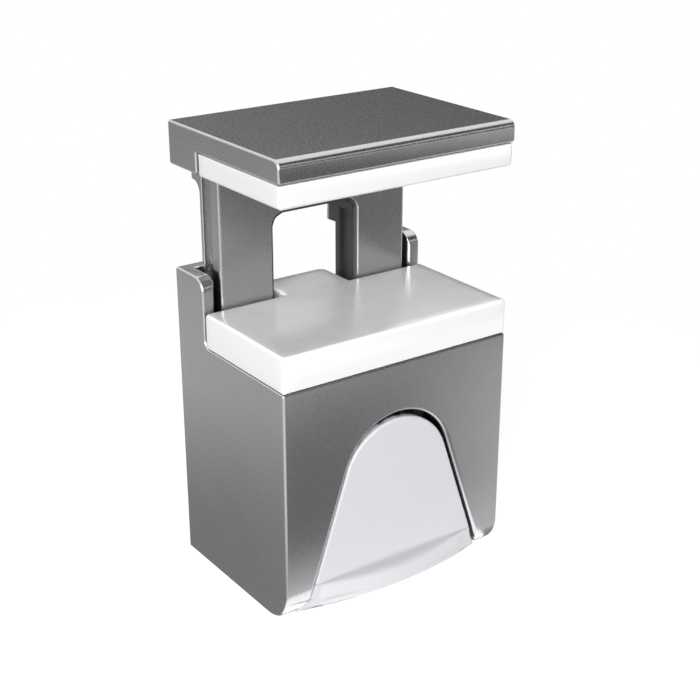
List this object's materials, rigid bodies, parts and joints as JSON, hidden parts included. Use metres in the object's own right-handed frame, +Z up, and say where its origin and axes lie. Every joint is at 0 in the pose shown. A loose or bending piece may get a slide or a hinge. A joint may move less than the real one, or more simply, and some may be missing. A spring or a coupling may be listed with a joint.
{
  "type": "clamping shelf support",
  "caption": "Wall-mounted shelf clamp: satin metal block with soft white pads, a sliding upper jaw on grooved arms and an arched release lever.",
  "frame": {"origin": "middle of the wall plate's back face, on the wall, level with its two screw holes", "axes": "+X to the right seen from the front, +Y into the wall, +Z up, along the jaw's travel"},
  "size_m": [0.0502, 0.0375, 0.0872],
  "materials": {
    "satin_cast_metal": "satin",
    "zinc_plated_steel": "satin",
    "spring_steel": "satin",
    "white_soft_pad": "matt, finely grained",
    "pale_lever_plastic": "satin",
    "black_guide_plastic": "matt"
  },
  "bodies": {
    "housing": {"housing": "satin_cast_metal", "wall_plate": "zinc_plated_steel", "lock_screw_left": "zinc_plated_steel", "lock_screw_right": "zinc_plated_steel", "lower_pad": "white_soft_pad", "guide_liner_left": "black_guide_plastic", "guide_liner_right": "black_guide_plastic", "guide_block": "black_guide_plastic", "guide_block_screw": "zinc_plated_steel", "closing_spring_left": "spring_steel", "closing_spring_right": "spring_steel", "lever_axle": "zinc_plated_steel", "axle_clip_left": "spring_steel", "axle_clip_right": "spring_steel"},
    "jaw": {"slider_jaw": "satin_cast_metal", "upper_pad": "white_soft_pad", "crossbar": "zinc_plated_steel", "crossbar_screw_left": "zinc_plated_steel", "crossbar_screw_right": "zinc_plated_steel"},
    "lever": {"release_lever": "pale_lever_plastic", "locking_cam_left": "zinc_plated_steel", "locking_cam_right": "zinc_plated_steel", "cam_screw_left": "zinc_plated_steel", "cam_screw_right": "zinc_plated_steel", "lever_spring": "spring_steel"}
  },
  "joints": [
    {"name": "jaw_slide", "type": "slide", "parent": "housing", "child": "jaw", "axis": [0, 0, 1], "range_m": [-0.0145, 0.0145], "deforming": ["closing_spring_left", "closing_spring_right"]},
    {"name": "lever_tilt", "type": "hinge", "parent": "housing", "child": "lever", "pos_m": [0, -0.0309, 0.016], "axis": [1, 0, 0], "range_deg": [-18, 0], "stiffness_Nm_per_rad": 0.15, "springref_deg": 11.46}
  ]
}
